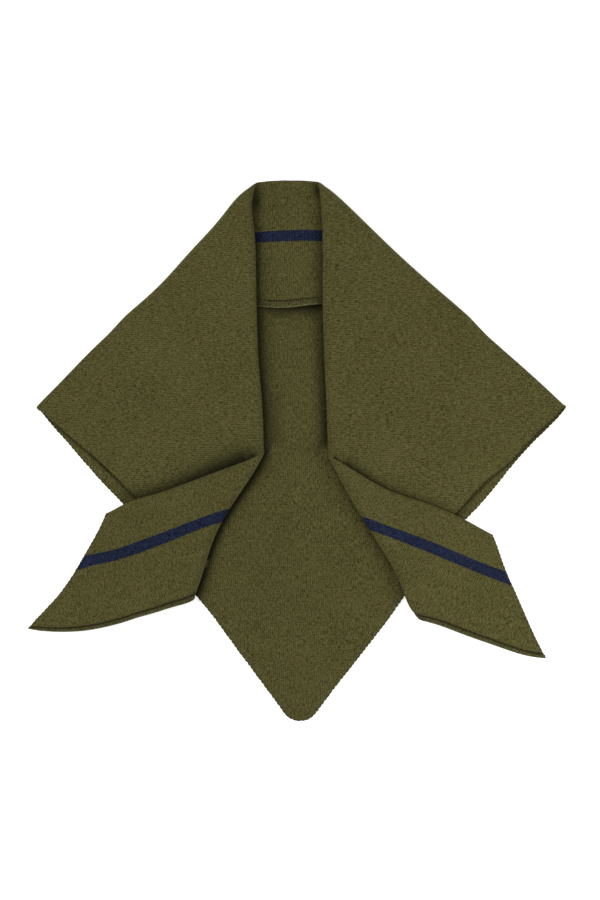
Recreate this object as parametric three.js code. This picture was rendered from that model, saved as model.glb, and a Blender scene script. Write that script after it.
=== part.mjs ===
// A knitted triangle scarf, lying flat and folded as it is worn round the neck.
//
// The cloth is one knitted triangle. A point of the flat cloth is given by three distances:
//   along   from the middle of the long edge towards a tip, the left side negative
//   inward  from the long edge towards the back corner
//   height  above the underside of the cloth
// place() folds such a point in the order in which the scarf is folded:
//   1 the collar fold turns the band at the long edge in
//   2 a shoulder fold on each side brings the wing forward over the back
//   3 a tail fold on each side turns the end of the wing outward, with its band on top
// Millimetres, Z up. The scarf lies on the plane Z = 0 with the collar towards +Y.
import * as THREE from 'three';

// The flat cloth
const longEdge = 1244;
const depth = 695;
const backCornerRadius = 19;
const sideBow = 0.23; // how much of the side's slope is a bow, 0 is a straight side
const clothThickness = 1.8;
const hemWidth = 7;
const stripeFromEdge = 62;
const stripeWidth = 11;
const seamGap = 0.3;

// The folds
const turnIn = 130;
const layerGap = 0.9;
const neckHalfWidth = 27.3;
const frontLength = 273.5;
const hemStep = 30; // length over which the front comes down past the band's edge
const edgeStep = 96; // length over which a tail comes down past the side of the back
const edgeAhead = 1 / 6; // share of that length which lies before the side
const bareStep = 44; // length over which a tail's band comes down past the cloth under it
const bareDelay = 0.4; // how much later that starts, as a share of its length
const foldHold = 50; // how far from its fold a tail still stays up
const backSkew = 0.016; // sideways drift of the back for each millimetre down from the neck

// One row a side. neck and front are shares of neckHalfWidth and frontLength, lift and tipRise
// shares of turnIn, and the rest are degrees. shoulder and tail are the fold lines' angles to
// the collar fold, and the two swings are how far the front and the tail are turned after it.
const wings = {
  left: { side: -1, neck: 1.08, front: 0.995, shoulder: 45.6, frontSwing: 0, tail: 27.5,
    tailSwing: 16, lift: 0.156, tipRise: 0.146 },
  right: { side: 1, neck: 0.92, front: 1.005, shoulder: 42.6, frontSwing: 3, tail: 28.2,
    tailSwing: 6.5, lift: 0.215, tipRise: 0.154 },
};

// The front's swing grows from the shoulder fold and is whole past this share of its angle
const swingWithin = 0.65;
const swingSlack = 1; // degrees left between the tail's fold and the end of its swing

// Where the tips of the long edge start to curve up and how soon, as shares of its half
const tipStart = 0.772;
const tipSpan = 0.177;

// Soft pulls that the hands leave in the lay. across, moveAcross are shares of half the long
// edge, down, moveDown and reach shares of the depth, from the middle of the collar fold.
const pulls = [
  { layer: 'all', across: -0.061, down: 0.065, moveAcross: -0.0074, moveDown: 0, reach: 0.066 },
  { layer: 'all', across: -0.13, down: 0.05, moveAcross: 0.0036, moveDown: 0.0032, reach: 0.066 },
  { layer: 'all', across: -0.215, down: 0.151, moveAcross: 0.0049, moveDown: 0.0037, reach: 0.066 },
  { layer: 'all', across: -0.338, down: 0.255, moveAcross: -0.0033, moveDown: -0.0022, reach: 0.073 },
  { layer: 'all', across: -0.417, down: 0.336, moveAcross: 0, moveDown: -0.0044, reach: 0.059 },
  { layer: 'all', across: 0.187, down: 0.113, moveAcross: -0.0036, moveDown: 0.0034, reach: 0.132 },
  { layer: 'all', across: 0.444, down: 0.329, moveAcross: 0.0082, moveDown: 0.0044, reach: 0.088 },
  { layer: 'all', across: 0.435, down: 0.333, moveAcross: 0.0033, moveDown: 0.0051, reach: 0.041 },
  { layer: 'all', across: 0.351, down: 0.439, moveAcross: 0.0082, moveDown: 0.0022, reach: 0.081 },
  { layer: 'all', across: 0.13, down: 0.688, moveAcross: 0.0049, moveDown: 0, reach: 0.103 },
  { layer: 'all', across: 0.154, down: 0.442, moveAcross: 0, moveDown: 0.0103, reach: 0.062 },
  { layer: 'all', across: -0.031, down: 0.183, moveAcross: 0, moveDown: 0.0044, reach: 0.038 },
  { layer: 'all', across: -0.005, down: 0.001, moveAcross: 0, moveDown: 0.0026, reach: 0.088 },
  { layer: 'all', across: -0.057, down: 0, moveAcross: 0.0025, moveDown: 0.0023, reach: 0.018 },
  { layer: 'all', across: 0.049, down: 0, moveAcross: -0.002, moveDown: 0.0018, reach: 0.018 },
  { layer: 'all', across: -0.005, down: 0.182, moveAcross: 0, moveDown: 0.0021, reach: 0.059 },
  { layer: 'front', across: -0.067, down: 0.025, moveAcross: -0.0082, moveDown: 0, reach: 0.041 },
  { layer: 'front', across: -0.059, down: 0.157, moveAcross: -0.0056, moveDown: 0, reach: 0.062 },
  { layer: 'front', across: -0.052, down: 0.251, moveAcross: -0.0059, moveDown: 0, reach: 0.066 },
  { layer: 'front', across: 0.052, down: 0.079, moveAcross: 0.0043, moveDown: 0, reach: 0.073 },
  { layer: 'front', across: -0.316, down: 0.409, moveAcross: 0.0043, moveDown: -0.0037, reach: 0.085 },
  { layer: 'front', across: 0.326, down: 0.424, moveAcross: 0.0033, moveDown: 0.0103, reach: 0.091 },
  { layer: 'front', across: 0.323, down: 0.439, moveAcross: -0.0049, moveDown: -0.0048, reach: 0.035 },
  { layer: 'front', across: 0.269, down: 0.49, moveAcross: 0.0049, moveDown: 0.0051, reach: 0.026 },
  { layer: 'back', across: -0.392, down: 0.357, moveAcross: -0.0016, moveDown: 0.0013, reach: 0.029 },
  { layer: 'back', across: -0.272, down: 0.476, moveAcross: 0.0026, moveDown: -0.0021, reach: 0.041 },
  { layer: 'back', across: -0.13, down: 0.633, moveAcross: 0.0016, moveDown: -0.0012, reach: 0.044 },
  { layer: 'back', across: 0.405, down: 0.38, moveAcross: 0.0026, moveDown: 0.0021, reach: 0.044 },
  { layer: 'back', across: 0.307, down: 0.48, moveAcross: 0.0043, moveDown: 0.0034, reach: 0.066 },
  { layer: 'back', across: 0.167, down: 0.633, moveAcross: 0.0041, moveDown: 0.0025, reach: 0.095 },
  { layer: 'tail', across: -0.408, down: 0.652, moveAcross: -0.0295, moveDown: 0.0015, reach: 0.053 },
  { layer: 'tail', across: -0.264, down: 0.622, moveAcross: 0, moveDown: 0.0066, reach: 0.117 },
  { layer: 'tail', across: 0.412, down: 0.696, moveAcross: 0.0295, moveDown: 0.0117, reach: 0.053 },
  { layer: 'tail', across: 0.326, down: 0.517, moveAcross: 0.0115, moveDown: 0.0044, reach: 0.044 },
  { layer: 'tail', across: 0.359, down: 0.615, moveAcross: 0.0098, moveDown: 0, reach: 0.073 },
  { layer: 'tail', across: 0.335, down: 0.688, moveAcross: 0.0016, moveDown: 0.0103, reach: 0.095 },
  { layer: 'tail', across: -0.343, down: 0.659, moveAcross: 0, moveDown: 0.0041, reach: 0.041 },
  { layer: 'tail', across: -0.248, down: 0.64, moveAcross: 0, moveDown: -0.0018, reach: 0.023 },
  { layer: 'tail', across: -0.166, down: 0.615, moveAcross: 0.0036, moveDown: 0.0019, reach: 0.021 },
  { layer: 'tail', across: -0.316, down: 0.512, moveAcross: 0.0041, moveDown: 0.0018, reach: 0.038 },
  { layer: 'tail', across: -0.303, down: 0.486, moveAcross: 0.0013, moveDown: 0.0029, reach: 0.023 },
  { layer: 'tail', across: -0.125, down: 0.542, moveAcross: -0.0026, moveDown: -0.0012, reach: 0.037 },
  { layer: 'tail', across: 0.379, down: 0.622, moveAcross: 0.0033, moveDown: -0.0009, reach: 0.066 },
  { layer: 'tail', across: 0.369, down: 0.696, moveAcross: 0, moveDown: 0.0092, reach: 0.041 },
  { layer: 'tail', across: -0.408, down: 0.657, moveAcross: 0, moveDown: -0.0029, reach: 0.018 },
  { layer: 'tail', across: 0.32, down: 0.512, moveAcross: -0.0013, moveDown: 0.0041, reach: 0.035 },
  { layer: 'tail', across: 0.192, down: 0.624, moveAcross: -0.0148, moveDown: 0.0076, reach: 0.035 },
  { layer: 'front', across: -0.107, down: 0.5, moveAcross: -0.0156, moveDown: 0.0026, reach: 0.07 },
  { layer: 'tail', across: -0.107, down: 0.5, moveAcross: -0.0156, moveDown: 0.0026, reach: 0.07 },
  { layer: 'tail', across: -0.067, down: 0.408, moveAcross: 0, moveDown: 0.004, reach: 0.035 },
  { layer: 'tail', across: -0.113, down: 0.424, moveAcross: 0, moveDown: 0.004, reach: 0.035 },
  { layer: 'tail', across: -0.159, down: 0.439, moveAcross: 0, moveDown: 0.0041, reach: 0.035 },
  { layer: 'tail', across: -0.205, down: 0.456, moveAcross: 0, moveDown: 0.0041, reach: 0.035 },
];

// Sizes that follow from these
const halfEdge = longEdge / 2;
const pitch = clothThickness + layerGap; // from one layer to the next
const foldRadius = pitch / 2; // of the middle of one layer folded on itself
const foldLength = Math.PI * foldRadius;
const stripeEnd = stripeFromEdge + stripeWidth;
const bandStep = turnIn + 2 * layerGap; // the front starts to come down just past the hem
const bandStepEnd = bandStep + hemStep;

const radians = THREE.MathUtils.degToRad;
const cot = (degrees) => 1 / Math.tan(radians(degrees));
const sine = (degrees) => Math.sin(radians(degrees));
const mix = THREE.MathUtils.lerp;
const steps = (count) => Array.from({ length: count + 1 }, (_, i) => i / count);

function smooth(from, to, value) {
  return THREE.MathUtils.smoothstep(value, from, to);
}

// Half the width of the flat cloth at a distance inward from the long edge
function sideAt(inward) {
  const share = (depth - inward) / depth;
  return halfEdge * ((1 - sideBow) * share + sideBow * share * share);
}

// Half a turn of everything beyond a line through (lineX, lineY), over to the near side.
// Returns the share of the turn that the point has made and how far it lies past the fold.
function foldOver(point, lineX, lineY, normalX, normalY, centre, radius) {
  const beyond = (point.x - lineX) * normalX + (point.y - lineY) * normalY;
  if (beyond <= 0) return [0, 0];
  const turn = Math.min(beyond / radius, Math.PI);
  const past = Math.max(beyond - Math.PI * radius, 0);
  const arm = centre - point.z;
  const moved = arm * Math.sin(turn) - past - beyond;
  point.x += normalX * moved;
  point.y += normalY * moved;
  point.z = centre - arm * Math.cos(turn);
  return [turn / Math.PI, past];
}

// A turn of a point in the plane about (x, y)
function swing(point, x, y, degrees) {
  const angle = radians(degrees);
  const dx = point.x - x;
  const dy = point.y - y;
  point.x = x + Math.cos(angle) * dx - Math.sin(angle) * dy;
  point.y = y + Math.sin(angle) * dx + Math.cos(angle) * dy;
}

// The lengths and angles of one wing, worked out from its row of the table
function wingLay(wing) {
  const neck = wing.neck * neckHalfWidth;
  const foldAngle = 2 * wing.shoulder + wing.frontSwing; // of the front's inner edge
  const mirror = neck + foldLength / sine(wing.shoulder);
  const length = wing.front * frontLength;
  return {
    ...wing,
    neck,
    foldAngle,
    tailFrom: mirror + length, // where the tail fold meets the collar fold on the flat cloth
    nubX: mirror + length * Math.cos(radians(foldAngle)),
    nubY: -length * Math.sin(radians(foldAngle)),
  };
}

const left = wingLay(wings.left);
const right = wingLay(wings.right);

// 1 where the band lies inside the shoulder fold, 0 past its edge
function bandInside(inward) {
  return 1 - smooth(bandStep, bandStepEnd, inward - turnIn);
}

function placeOnWing(wing, along, inward, height) {
  const point = new THREE.Vector3(along, turnIn - inward, height);
  const oneLayer = clothThickness + layerGap / 2;
  foldOver(point, 0, 0, 0, 1, oneLayer, foldRadius);

  const inside = bandInside(inward);
  const normal = radians(wing.shoulder);
  const [front] = foldOver(point, wing.neck, 0, Math.sin(normal), Math.cos(normal),
    oneLayer + inside * pitch, foldRadius * (1 + inside));
  const onFront = front >= 1;
  if (onFront) {
    const from = -THREE.MathUtils.radToDeg(Math.atan2(point.y, point.x - wing.neck));
    const share = THREE.MathUtils.clamp((from / wing.shoulder - 1) / swingWithin, 0, 1);
    swing(point, wing.neck, 0, -wing.frontSwing * share);
  }

  // Below the collar the front comes down by the layer of the band that ends there
  point.z -= front * inside * pitch * smooth(turnIn, -wing.nubY, -point.y);

  let tail = 0;
  let past = 0;
  if (onFront) {
    let bearing = THREE.MathUtils.radToDeg(Math.atan2(point.y - wing.nubY, point.x - wing.nubX));
    bearing += wing.foldAngle;
    if (bearing < -90) bearing += 360;
    const wholeTo = wing.tail + wing.tailSwing;
    const noneFrom = wholeTo + wing.tail + swingSlack;
    swing(point, wing.nubX, wing.nubY, wing.tailSwing * (smooth(wholeTo, noneFrom, bearing) - 1));
    const line = radians(wing.tail - wing.foldAngle);
    [tail, past] = foldOver(point, wing.nubX, wing.nubY, Math.sin(line), -Math.cos(line),
      3 * pitch - layerGap / 2, pitch);
  }

  // Past the side of the back the tail comes down to the ground, and past the cloth under it
  // the band comes down onto the tail's own level, but the fold itself stays up
  const free = smooth(0, foldHold, past);
  const over = point.x - sideAt(turnIn - point.y);
  point.z -= free * 3 * pitch * smooth(-edgeAhead * edgeStep, (1 - edgeAhead) * edgeStep, over);
  if (inward < turnIn) {
    const bare = along - sideAt(turnIn + belowFold(inward));
    point.z -= free * pitch * smooth(bareDelay * bareStep, (1 + bareDelay) * bareStep, bare);
  }

  point.x = point.x * wing.side - backSkew * Math.min(point.y, 0) * (1 - front);
  return pulled(point, { all: 1, back: 1 - front, front: front * (1 - tail), tail });
}

// shares holds how far the point belongs to each layer, so that no fold is torn by a pull
function pulled(point, shares) {
  const { x, y } = point;
  for (const pull of pulls) {
    const dx = x - pull.across * halfEdge;
    const dy = y + pull.down * depth;
    const reach = pull.reach * depth;
    const weight = shares[pull.layer] * Math.exp(-(dx * dx + dy * dy) / (reach * reach));
    point.x += weight * pull.moveAcross * halfEdge;
    point.y -= weight * pull.moveDown * depth;
  }
  return point;
}

function place(along, inward, height) {
  const wing = along < 0 ? left : right;
  return placeOnWing(wing, Math.abs(along), inward, height);
}

// How far inward a knitted row lies that starts rowAt from the middle of the long edge. The
// rows rise towards the tips, the hem most of all.
function rowInward(wing, along, rowAt) {
  if (rowAt >= turnIn) return rowAt;
  const share = along / halfEdge;
  const held = Math.min(1, (turnIn - rowAt) / (turnIn - stripeEnd));
  const hemward = Math.max(0, 1 - rowAt / stripeFromEdge);
  const tip = Math.max(0, (share - tipStart) / tipSpan);
  return rowAt + turnIn * (wing.lift * share * held + wing.tipRise * tip * tip * hemward);
}

// How far below the collar fold a point lies once that fold is made
function belowFold(inward) {
  const reach = turnIn - inward;
  if (reach <= 0) return -reach;
  if (reach < foldLength) return -foldRadius * Math.sin(reach / foldRadius);
  return reach - foldLength;
}

// The columns of a wing, from the middle of the scarf to its side. Each zone runs between two
// lines of the flat cloth and is cut at its shares, finer in the two folds.
const zones = [
  { from: 'middle', to: 'shoulder', shares: [0, 0.08, 0.18, 0.3, 0.45, 0.65, 0.82] },
  { from: 'shoulder', to: 'front', shares: steps(5).slice(0, -1) },
  { from: 'front', to: 'tailFold', shares: steps(6).slice(0, -1) },
  { from: 'tailFold', to: 'tail', shares: steps(5).slice(0, -1) },
  { from: 'tail', to: 'side', shares: steps(7) },
];

// How far along each of those lines lies, at a distance inward
function lineAt(wing, line, inward) {
  const below = belowFold(inward);
  const shoulder = wing.neck + below * cot(wing.shoulder);
  const tailFold = wing.tailFrom + below * cot(wing.tail + wing.tailSwing);
  const places = {
    middle: 0,
    shoulder,
    front: shoulder + foldLength * (1 + bandInside(inward)) / sine(wing.shoulder),
    tailFold,
    tail: tailFold + 2 * foldLength / sine(wing.tail + wing.tailSwing),
    side: sideAt(inward),
  };
  return places[line];
}

function columnAt(wing, zone, share, inward) {
  return mix(lineAt(wing, zone.from, inward), lineAt(wing, zone.to, inward), share);
}

// One knitted row of the band, from tip to tip
function bandRow(rowAt) {
  const half = (wing) => zones.flatMap((zone) => zone.shares.map((share) => {
    let along = 0;
    let inward = rowAt;
    for (let pass = 0; pass < 24; pass += 1) {
      inward = rowInward(wing, along, rowAt);
      along = columnAt(wing, zone, share, inward);
    }
    return [along * wing.side, inward];
  }));
  return joinHalves(half(left), half(right));
}

function joinHalves(leftHalf, rightHalf) {
  return [...leftHalf.slice(1).reverse(), ...rightHalf];
}

// Where a column meets the side of the cloth, found by halving
function columnEnd(wing, zone, share) {
  let near = 0;
  let far = depth - turnIn;
  for (let pass = 0; pass < 40; pass += 1) {
    const below = (near + far) / 2;
    if (columnAt(wing, zone, share, turnIn + below) < sideAt(turnIn + below)) near = below;
    else far = below;
  }
  return near;
}

// The outline of the back from the middle of its rounded corner up to the shoulder fold, as
// [along, below the collar fold]
function backOutline(wing, share) {
  const slope = halfEdge * (1 - sideBow) / depth;
  const cornerAngle = Math.atan(slope);
  const arcCentre = depth - backCornerRadius / Math.sin(cornerAngle);
  const arcShare = share / zones[0].shares[3];
  if (arcShare <= 1) {
    const angle = arcShare * (Math.PI / 2 - cornerAngle);
    return [backCornerRadius * Math.sin(angle),
      arcCentre + backCornerRadius * Math.cos(angle) - turnIn];
  }
  const tangent = arcCentre + backCornerRadius * Math.sin(cornerAngle);
  const shoulderEnd = turnIn + columnEnd(wing, zones[0], 1);
  const rest = (share - zones[0].shares[3]) / (1 - zones[0].shares[3]);
  const inward = mix(tangent, shoulderEnd, rest);
  return [sideAt(inward), inward - turnIn];
}

// Rows of the body below the collar fold: planned is a share of the way to the band's step,
// then across the step, then on to the side; most keeps the rows apart in a short column.
const bodyRows = [
  ...[0.16, 0.33, 0.5, 0.67, 0.84, 1].map((share, i) => ({ part: 'band', share, most: 0.13 * (i + 1) })),
  ...[0.25, 0.5, 0.75, 1].map((share, i) => ({ part: 'step', share, most: 0.81 + 0.03 * i })),
  ...[0.25, 0.5, 0.75, 1].map((share, i) => ({ part: 'rest', share, most: 0.925 + 0.025 * i })),
];

function bodyDepth(row, end) {
  const planned = {
    band: bandStep * row.share,
    step: mix(bandStep, bandStepEnd, row.share),
    rest: mix(bandStepEnd, end, row.share),
  };
  return Math.min(planned[row.part], row.most * end);
}

function bodyRow(row) {
  const half = (wing) => zones.flatMap((zone) => zone.shares.map((share) => {
    if (zone.from === 'middle') {
      const top = share * wing.neck;
      const [along, end] = backOutline(wing, share);
      const below = bodyDepth(row, end);
      return [mix(top, along, below / end) * wing.side, turnIn + below];
    }
    const end = columnEnd(wing, zone, zone.to === 'side' ? 0 : share);
    const below = bodyDepth(row, end);
    return [columnAt(wing, zone, share, turnIn + below) * wing.side, turnIn + below];
  }));
  return joinHalves(half(left), half(right));
}

// A closed shell of cloth over a grid of [along, inward] points: the underside, the top and
// the rim between them
function clothShell(name, rows, material) {
  const positions = [];
  const indices = [];
  const known = new Map();
  const vertex = ([along, inward], height) => {
    const p = place(along, inward, height);
    const key = [p.x, p.y, p.z].map((value) => value.toFixed(3)).join();
    if (!known.has(key)) {
      known.set(key, positions.length / 3);
      positions.push(p.x, p.y, p.z);
    }
    return known.get(key);
  };
  const triangle = (a, b, c) => {
    if (a !== b && b !== c && c !== a) indices.push(a, b, c);
  };
  const quad = (a, b, c, d) => {
    triangle(a, b, c);
    triangle(a, c, d);
  };
  const under = rows.map((row) => row.map((point) => vertex(point, 0)));
  const top = rows.map((row) => row.map((point) => vertex(point, clothThickness)));
  const last = rows.length - 1;
  const end = rows[0].length - 1;
  for (let j = 0; j < last; j += 1) {
    for (let i = 0; i < end; i += 1) {
      quad(top[j + 1][i], top[j + 1][i + 1], top[j][i + 1], top[j][i]);
      quad(under[j][i], under[j][i + 1], under[j + 1][i + 1], under[j + 1][i]);
    }
    quad(under[j][0], under[j + 1][0], top[j + 1][0], top[j][0]);
    quad(top[j][end], top[j + 1][end], under[j + 1][end], under[j][end]);
  }
  for (let i = 0; i < end; i += 1) {
    quad(top[0][i + 1], under[0][i + 1], under[0][i], top[0][i]);
    quad(under[last][i], under[last][i + 1], top[last][i + 1], top[last][i]);
  }
  const geometry = new THREE.BufferGeometry();
  geometry.setAttribute('position', new THREE.Float32BufferAttribute(positions, 3));
  geometry.setIndex(indices);
  geometry.computeVertexNormals();
  const mesh = new THREE.Mesh(geometry, material);
  mesh.name = name;
  return mesh;
}

// Rows between two distances from the long edge, evenly spaced
function bandRows(from, to, count) {
  return steps(count).map((share) => bandRow(mix(from, to, share)));
}

const wool = { roughness: 0.95, metalness: 0, flatShading: true };
const olive = new THREE.MeshStandardMaterial({ color: 0x4e4b2b, ...wool });
const oliveBand = new THREE.MeshStandardMaterial({ color: 0x504c2b, ...wool });
const oliveHem = new THREE.MeshStandardMaterial({ color: 0x433f22, ...wool });
const navy = new THREE.MeshStandardMaterial({ color: 0x1d2236, ...wool });

function longEdgeHem() {
  return clothShell('long_edge_hem', bandRows(0, hemWidth, 1), oliveHem);
}

function edgeBand() {
  const rows = bandRows(hemWidth + seamGap, stripeFromEdge - seamGap, 3);
  return clothShell('edge_band', rows, oliveBand);
}

function stripe() {
  return clothShell('navy_stripe', bandRows(stripeFromEdge, stripeEnd, 1), navy);
}

// The rest of the band, the collar fold and the whole body down to the back corner
function knittedPanel() {
  const foldStart = turnIn - foldLength;
  const rows = [
    ...bandRows(stripeEnd + seamGap, foldStart, 3),
    ...bandRows(foldStart, turnIn, 5).slice(1),
    ...bodyRows.map(bodyRow),
  ];
  return clothShell('knitted_panel', rows, olive);
}

const scarf = new THREE.Group();
scarf.name = 'triangle_scarf';
scarf.add(longEdgeHem(), edgeBand(), stripe(), knittedPanel());

// The origin is the middle of the scarf's outline, on the surface that it lies on
const outline = new THREE.Box3().setFromObject(scarf);
const middle = outline.getCenter(new THREE.Vector3());
scarf.position.set(-middle.x, -middle.y, -outline.min.z);

export default scarf;
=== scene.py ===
# A knitted triangle scarf in olive wool with a navy stripe, folded flat as it is worn.
# The cloth is laid with the same folds as the solids of the frame, on a finer grid and softer,
# and the hem's ribs, the edges' loops and the loose fibres are grown on it by Geometry Nodes.
import math
from collections import namedtuple
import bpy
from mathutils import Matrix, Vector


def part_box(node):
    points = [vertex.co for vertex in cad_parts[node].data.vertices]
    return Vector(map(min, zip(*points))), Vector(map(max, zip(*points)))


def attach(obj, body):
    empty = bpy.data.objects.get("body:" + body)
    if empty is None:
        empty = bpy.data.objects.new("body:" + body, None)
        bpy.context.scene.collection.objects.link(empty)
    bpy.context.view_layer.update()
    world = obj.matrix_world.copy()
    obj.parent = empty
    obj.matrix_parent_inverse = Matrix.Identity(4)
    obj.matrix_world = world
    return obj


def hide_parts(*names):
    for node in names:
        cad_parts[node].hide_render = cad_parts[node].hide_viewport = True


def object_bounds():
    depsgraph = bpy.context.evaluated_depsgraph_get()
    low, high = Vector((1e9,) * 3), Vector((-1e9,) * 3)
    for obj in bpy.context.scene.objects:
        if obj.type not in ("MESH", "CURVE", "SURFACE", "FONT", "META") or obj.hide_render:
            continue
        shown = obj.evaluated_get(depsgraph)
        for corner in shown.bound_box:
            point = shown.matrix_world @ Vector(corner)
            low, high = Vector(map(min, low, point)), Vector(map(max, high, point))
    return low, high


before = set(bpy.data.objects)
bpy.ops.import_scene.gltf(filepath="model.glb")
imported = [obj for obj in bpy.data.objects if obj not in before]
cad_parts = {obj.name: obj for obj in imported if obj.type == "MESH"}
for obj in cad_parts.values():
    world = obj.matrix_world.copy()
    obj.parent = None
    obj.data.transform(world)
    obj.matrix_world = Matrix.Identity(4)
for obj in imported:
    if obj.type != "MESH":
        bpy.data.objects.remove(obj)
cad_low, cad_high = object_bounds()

from types import SimpleNamespace

import bmesh
import bpy
import numpy as np
from mathutils import Vector

MM = 0.001

# The flat cloth, in millimetres
LONG_EDGE = 1244
DEPTH = 695
BACK_CORNER_RADIUS = 19
SIDE_BOW = 0.23
CLOTH_THICKNESS = 1.8
HEM_WIDTH = 7
STRIPE_FROM_EDGE = 62
STRIPE_WIDTH = 11

# The folds, in millimetres and degrees where no share is named
TURN_IN = 130
LAYER_GAP = 0.9
NECK_HALF_WIDTH = 27.3
FRONT_LENGTH = 273.5
HEM_STEP = 30
EDGE_STEP = 96
EDGE_AHEAD = 1 / 6  # share of the edge step that lies before the edge
BARE_STEP = 44
BARE_DELAY = 0.4  # share of the bare step before it begins
LAYERS_UNDER_TAIL = 3
FOLD_HOLD = 50
BACK_SKEW = 0.016
SWING_WITHIN = 0.65  # share of the shoulder's angle
SWING_SLACK = 1
TIP_START = 0.772  # share of half the long edge, as is the next
TIP_SPAN = 0.177
HEM_ROLLED = 0.32  # share of the hem's width that is rolled under on the tails
ROLLED_FROM = (0.42, 0.56)  # and to, as shares of half the long edge

# Sizes that follow from these
HALF_EDGE = LONG_EDGE / 2
PITCH = CLOTH_THICKNESS + LAYER_GAP
FOLD_RADIUS = PITCH / 2
FOLD_LENGTH = math.pi * FOLD_RADIUS
STRIPE_END = STRIPE_FROM_EDGE + STRIPE_WIDTH
BAND_STEP = TURN_IN + 2 * LAYER_GAP
BAND_STEP_END = BAND_STEP + HEM_STEP
ONE_LAYER = CLOTH_THICKNESS + LAYER_GAP / 2
MID_LAYER = CLOTH_THICKNESS / 2
CORNER_ANGLE = math.atan(HALF_EDGE * (1 - SIDE_BOW) / DEPTH)
CORNER_CENTRE = DEPTH - BACK_CORNER_RADIUS / math.sin(CORNER_ANGLE)

# How the hands have pulled the lay: places and reach are shares of half the long edge (across)
# and of the depth (the others), from the middle of the collar fold
Pull = namedtuple("Pull", "layer across down move_across move_down reach")
PULLS = (
    Pull("all", -0.061, 0.065, -0.0074, 0, 0.066),
    Pull("all", -0.13, 0.05, 0.0036, 0.0032, 0.066),
    Pull("all", -0.215, 0.151, 0.0049, 0.0037, 0.066),
    Pull("all", -0.338, 0.255, -0.0033, -0.0022, 0.073),
    Pull("all", -0.417, 0.336, 0, -0.0044, 0.059),
    Pull("all", 0.187, 0.113, -0.0036, 0.0034, 0.132),
    Pull("all", 0.444, 0.329, 0.0082, 0.0044, 0.088),
    Pull("all", 0.435, 0.333, 0.0033, 0.0051, 0.041),
    Pull("all", 0.351, 0.439, 0.0082, 0.0022, 0.081),
    Pull("all", 0.13, 0.688, 0.0049, 0, 0.103),
    Pull("all", 0.154, 0.442, 0, 0.0103, 0.062),
    Pull("all", -0.031, 0.183, 0, 0.0044, 0.038),
    Pull("all", -0.005, 0.001, 0, 0.0026, 0.088),
    Pull("all", -0.057, 0, 0.0025, 0.0023, 0.018),
    Pull("all", 0.049, 0, -0.002, 0.0018, 0.018),
    Pull("all", -0.005, 0.182, 0, 0.0021, 0.059),
    Pull("front", -0.067, 0.025, -0.0082, 0, 0.041),
    Pull("front", -0.059, 0.157, -0.0056, 0, 0.062),
    Pull("front", -0.052, 0.251, -0.0059, 0, 0.066),
    Pull("front", 0.052, 0.079, 0.0043, 0, 0.073),
    Pull("front", -0.316, 0.409, 0.0043, -0.0037, 0.085),
    Pull("front", 0.326, 0.424, 0.0033, 0.0103, 0.091),
    Pull("front", 0.323, 0.439, -0.0049, -0.0048, 0.035),
    Pull("front", 0.269, 0.49, 0.0049, 0.0051, 0.026),
    Pull("back", -0.392, 0.357, -0.0016, 0.0013, 0.029),
    Pull("back", -0.272, 0.476, 0.0026, -0.0021, 0.041),
    Pull("back", -0.13, 0.633, 0.0016, -0.0012, 0.044),
    Pull("back", 0.405, 0.38, 0.0026, 0.0021, 0.044),
    Pull("back", 0.307, 0.48, 0.0043, 0.0034, 0.066),
    Pull("back", 0.167, 0.633, 0.0041, 0.0025, 0.095),
    Pull("tail", -0.408, 0.652, -0.0295, 0.0015, 0.053),
    Pull("tail", -0.264, 0.622, 0, 0.0066, 0.117),
    Pull("tail", 0.412, 0.696, 0.0295, 0.0117, 0.053),
    Pull("tail", 0.326, 0.517, 0.0115, 0.0044, 0.044),
    Pull("tail", 0.359, 0.615, 0.0098, 0, 0.073),
    Pull("tail", 0.335, 0.688, 0.0016, 0.0103, 0.095),
    Pull("tail", -0.343, 0.659, 0, 0.0041, 0.041),
    Pull("tail", -0.248, 0.64, 0, -0.0018, 0.023),
    Pull("tail", -0.166, 0.615, 0.0036, 0.0019, 0.021),
    Pull("tail", -0.316, 0.512, 0.0041, 0.0018, 0.038),
    Pull("tail", -0.303, 0.486, 0.0013, 0.0029, 0.023),
    Pull("tail", -0.125, 0.542, -0.0026, -0.0012, 0.037),
    Pull("tail", 0.379, 0.622, 0.0033, -0.0009, 0.066),
    Pull("tail", 0.369, 0.696, 0, 0.0092, 0.041),
    Pull("tail", -0.408, 0.657, 0, -0.0029, 0.018),
    Pull("tail", 0.32, 0.512, -0.0013, 0.0041, 0.035),
    Pull("tail", 0.192, 0.624, -0.0148, 0.0076, 0.035),
    Pull("front", -0.107, 0.5, -0.0156, 0.0026, 0.07),
    Pull("tail", -0.107, 0.5, -0.0156, 0.0026, 0.07),
    Pull("tail", -0.067, 0.408, 0, 0.004, 0.035),
    Pull("tail", -0.113, 0.424, 0, 0.004, 0.035),
    Pull("tail", -0.159, 0.439, 0, 0.0041, 0.035),
    Pull("tail", -0.205, 0.456, 0, 0.0041, 0.035),
    # These two are made in this softer cloth alone, and set the stripe right
    Pull("back", 0.012, 0.083, 0, -0.0054, 0.052),
    Pull("tail", -0.341, 0.556, 0.0039, -0.0059, 0.042),
)


def sine(degrees):
    return math.sin(math.radians(degrees))


def cosine(degrees):
    return math.cos(math.radians(degrees))


def cot(degrees):
    return 1 / math.tan(math.radians(degrees))


def smooth(low, high, value):
    share = np.clip((value - low) / (high - low), 0, 1)
    return share * share * (3 - 2 * share)


def mix(a, b, share):
    return a + (b - a) * share


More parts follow.
